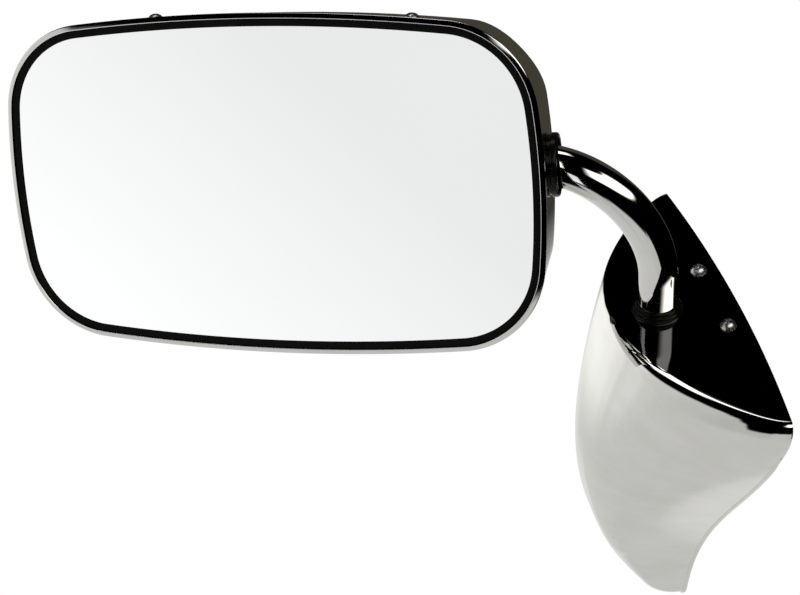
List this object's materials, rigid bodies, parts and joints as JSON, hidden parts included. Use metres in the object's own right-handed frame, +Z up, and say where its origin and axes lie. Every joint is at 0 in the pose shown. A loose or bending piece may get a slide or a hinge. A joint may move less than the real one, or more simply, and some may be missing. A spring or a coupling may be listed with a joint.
{
  "type": "car side mirror",
  "caption": "Door-mounted car side mirror: rounded oblong mirror head on a bent bright tube arm that swivels on a bright triangular base cover",
  "frame": {"origin": "centre of the three-hole door bolt circle, on the gasket face that lies against the door", "axes": "+X points into the door, +Y to the front of the car, +Z up along the door"},
  "size_m": [0.332, 0.2798, 0.3202],
  "materials": {
    "bright_cover": "polished stainless pressing, faint polishing lines",
    "bracket_steel": "zinc plated pressed steel",
    "gasket_rubber": "black sheet rubber",
    "black_rubber": "moulded black rubber",
    "bush_plastic": "natural acetal",
    "zinc_steel": "zinc plated steel",
    "fastener": "bright plated screw, cross recess",
    "spring_steel": "oiled spring steel",
    "bright_tube": "polished chromed tube",
    "cast_socket": "tumbled die casting",
    "backing_plastic": "moulded black, fine grain",
    "foam": "closed cell foam",
    "mirror_glass": "flat silvered glass, polished edge",
    "seal_rubber": "dull black rubber lip",
    "bright_trim": "bright polished trim",
    "bright_shell": "polished chromed pressing"
  },
  "bodies": {
    "base": {"base_cover": "bright_cover", "door_bracket": "bracket_steel", "door_gasket": "gasket_rubber", "base_ring": "black_rubber", "swivel_bush": "bush_plastic", "thrust_washer": "bush_plastic", "pressure_washer": "zinc_steel", "cover_screws": "fastener", "cover_nuts": "zinc_steel"},
    "arm": {"arm_tube": "bright_tube", "pivot_stud": "zinc_steel", "ball_stud": "zinc_steel", "dust_cap": "black_rubber", "pivot_spring": "spring_steel", "spring_cup": "zinc_steel", "lock_nut": "zinc_steel"},
    "ball_seat": {"ball_liner": "bush_plastic"},
    "head": {"socket_front": "cast_socket", "socket_rear": "cast_socket", "socket_screws": "zinc_steel", "socket_springs": "spring_steel", "socket_nuts": "zinc_steel", "head_bracket": "bracket_steel", "backing_plate": "backing_plastic", "foam_pad": "foam", "mirror_glass": "mirror_glass", "glass_seal": "seal_rubber", "rim_trim": "bright_trim", "head_shell": "bright_shell", "shell_screws": "fastener", "shell_nuts": "zinc_steel", "collar": "black_rubber"}
  },
  "joints": [
    {"name": "arm_swivel", "type": "hinge", "parent": "base", "child": "arm", "pos_m": [-0.03793, 0, 0.05667], "axis": [-0.1392, 0, 0.9903], "range_deg": [-50, 60]},
    {"name": "head_tilt", "type": "hinge", "parent": "arm", "child": "ball_seat", "pos_m": [-0.10232, 0.04263, 0.12134], "axis": [-0.7814, 0.6143, -0.1098], "range_deg": [-15, 15]},
    {"name": "head_swing", "type": "hinge", "parent": "ball_seat", "child": "head", "pos_m": [-0.10232, 0.04263, 0.12134], "axis": [-0.0399, 0.4059, 0.9131], "range_deg": [-8, 5]}
  ]
}
